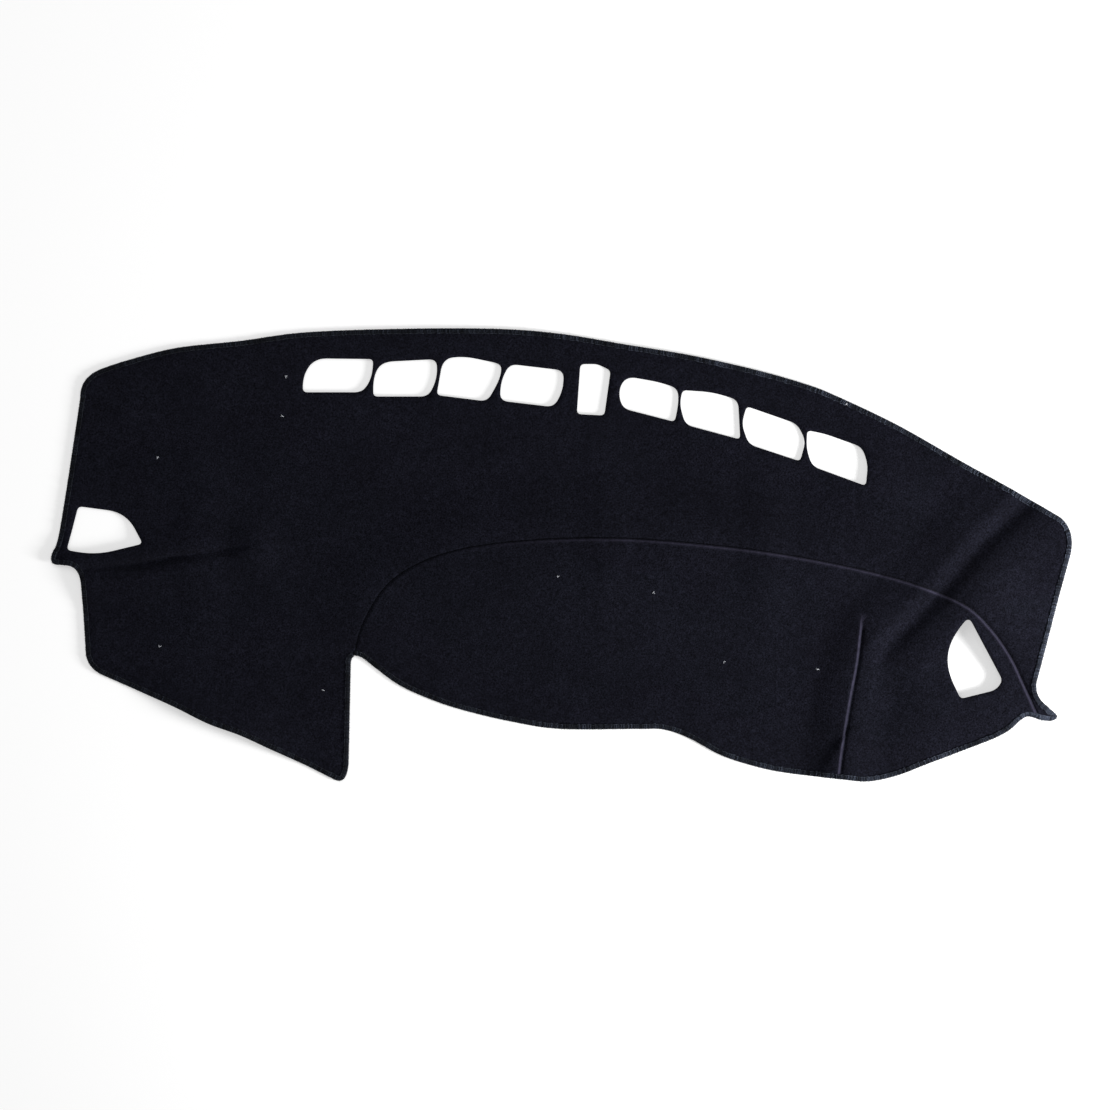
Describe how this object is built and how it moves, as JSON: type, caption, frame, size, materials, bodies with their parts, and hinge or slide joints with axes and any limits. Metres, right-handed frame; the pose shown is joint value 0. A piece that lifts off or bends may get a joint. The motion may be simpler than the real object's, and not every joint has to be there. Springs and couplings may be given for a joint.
{
  "type": "dashboard cover mat",
  "caption": "Black felt dashboard cover with a sewn instrument hood, overlocked edges, windscreen outlet cut-outs, corner cut-outs and a front flap, lying spread out.",
  "frame": {"origin": "under the middle of the mat's outline, on the surface that it lies on", "axes": "+X across the car towards the end with the tail, +Y towards the windscreen, +Z out of the pile side"},
  "size_m": [1.4482, 0.6426, 0.0267],
  "materials": {
    "felt": "matte napped felt",
    "edge_thread": "overlock thread"
  },
  "bodies": {
    "root": {"main_panel": "felt", "hood_panel": "felt", "main_edge_overlock": "edge_thread", "hood_edge_overlock": "edge_thread", "hood_seam_allowance": "edge_thread", "hood_dart_allowance": "edge_thread", "left_dart_allowance": "edge_thread"}
  },
  "joints": []
}
